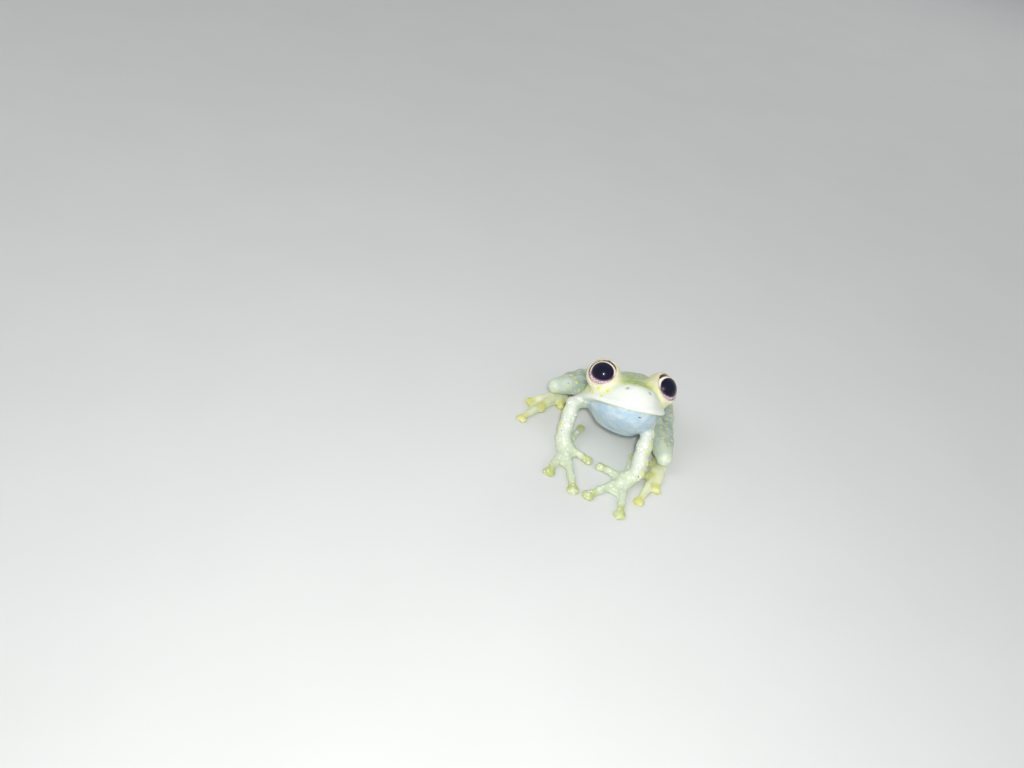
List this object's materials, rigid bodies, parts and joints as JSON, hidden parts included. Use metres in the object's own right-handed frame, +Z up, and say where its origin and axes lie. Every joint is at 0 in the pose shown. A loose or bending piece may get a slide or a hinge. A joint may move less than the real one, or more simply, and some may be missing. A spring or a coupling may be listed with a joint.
{
  "type": "glass frog",
  "caption": "Small pale translucent frog sitting with its head raised, large dark eyes set high, and long spread fingers with round grip discs.",
  "frame": {"origin": "middle of the bottom of the bounding box, on the plane that the hands and feet rest on", "axes": "+Z up, -Y the way the frog looks, +X to the frog's left"},
  "size_m": [0.0192, 0.0236, 0.0117],
  "materials": {
    "skin": "moist satin skin, pale yellow-green and slightly see-through",
    "throat": "moist satin skin, bluish white",
    "digits": "moist satin skin, whitish with yellow-green discs",
    "eye": "wet gloss, near black pupil with a cream and purple iris"
  },
  "bodies": {
    "root": {"head": "skin", "lower_jaw": "throat", "eye_right": "eye", "eye_left": "eye", "torso": "skin", "upper_arm_right": "skin", "forearm_right": "skin", "hand_right": "digits", "thigh_right": "skin", "shank_right": "skin", "foot_right": "digits", "upper_arm_left": "skin", "forearm_left": "skin", "hand_left": "digits", "thigh_left": "skin", "shank_left": "skin", "foot_left": "digits"}
  },
  "joints": []
}
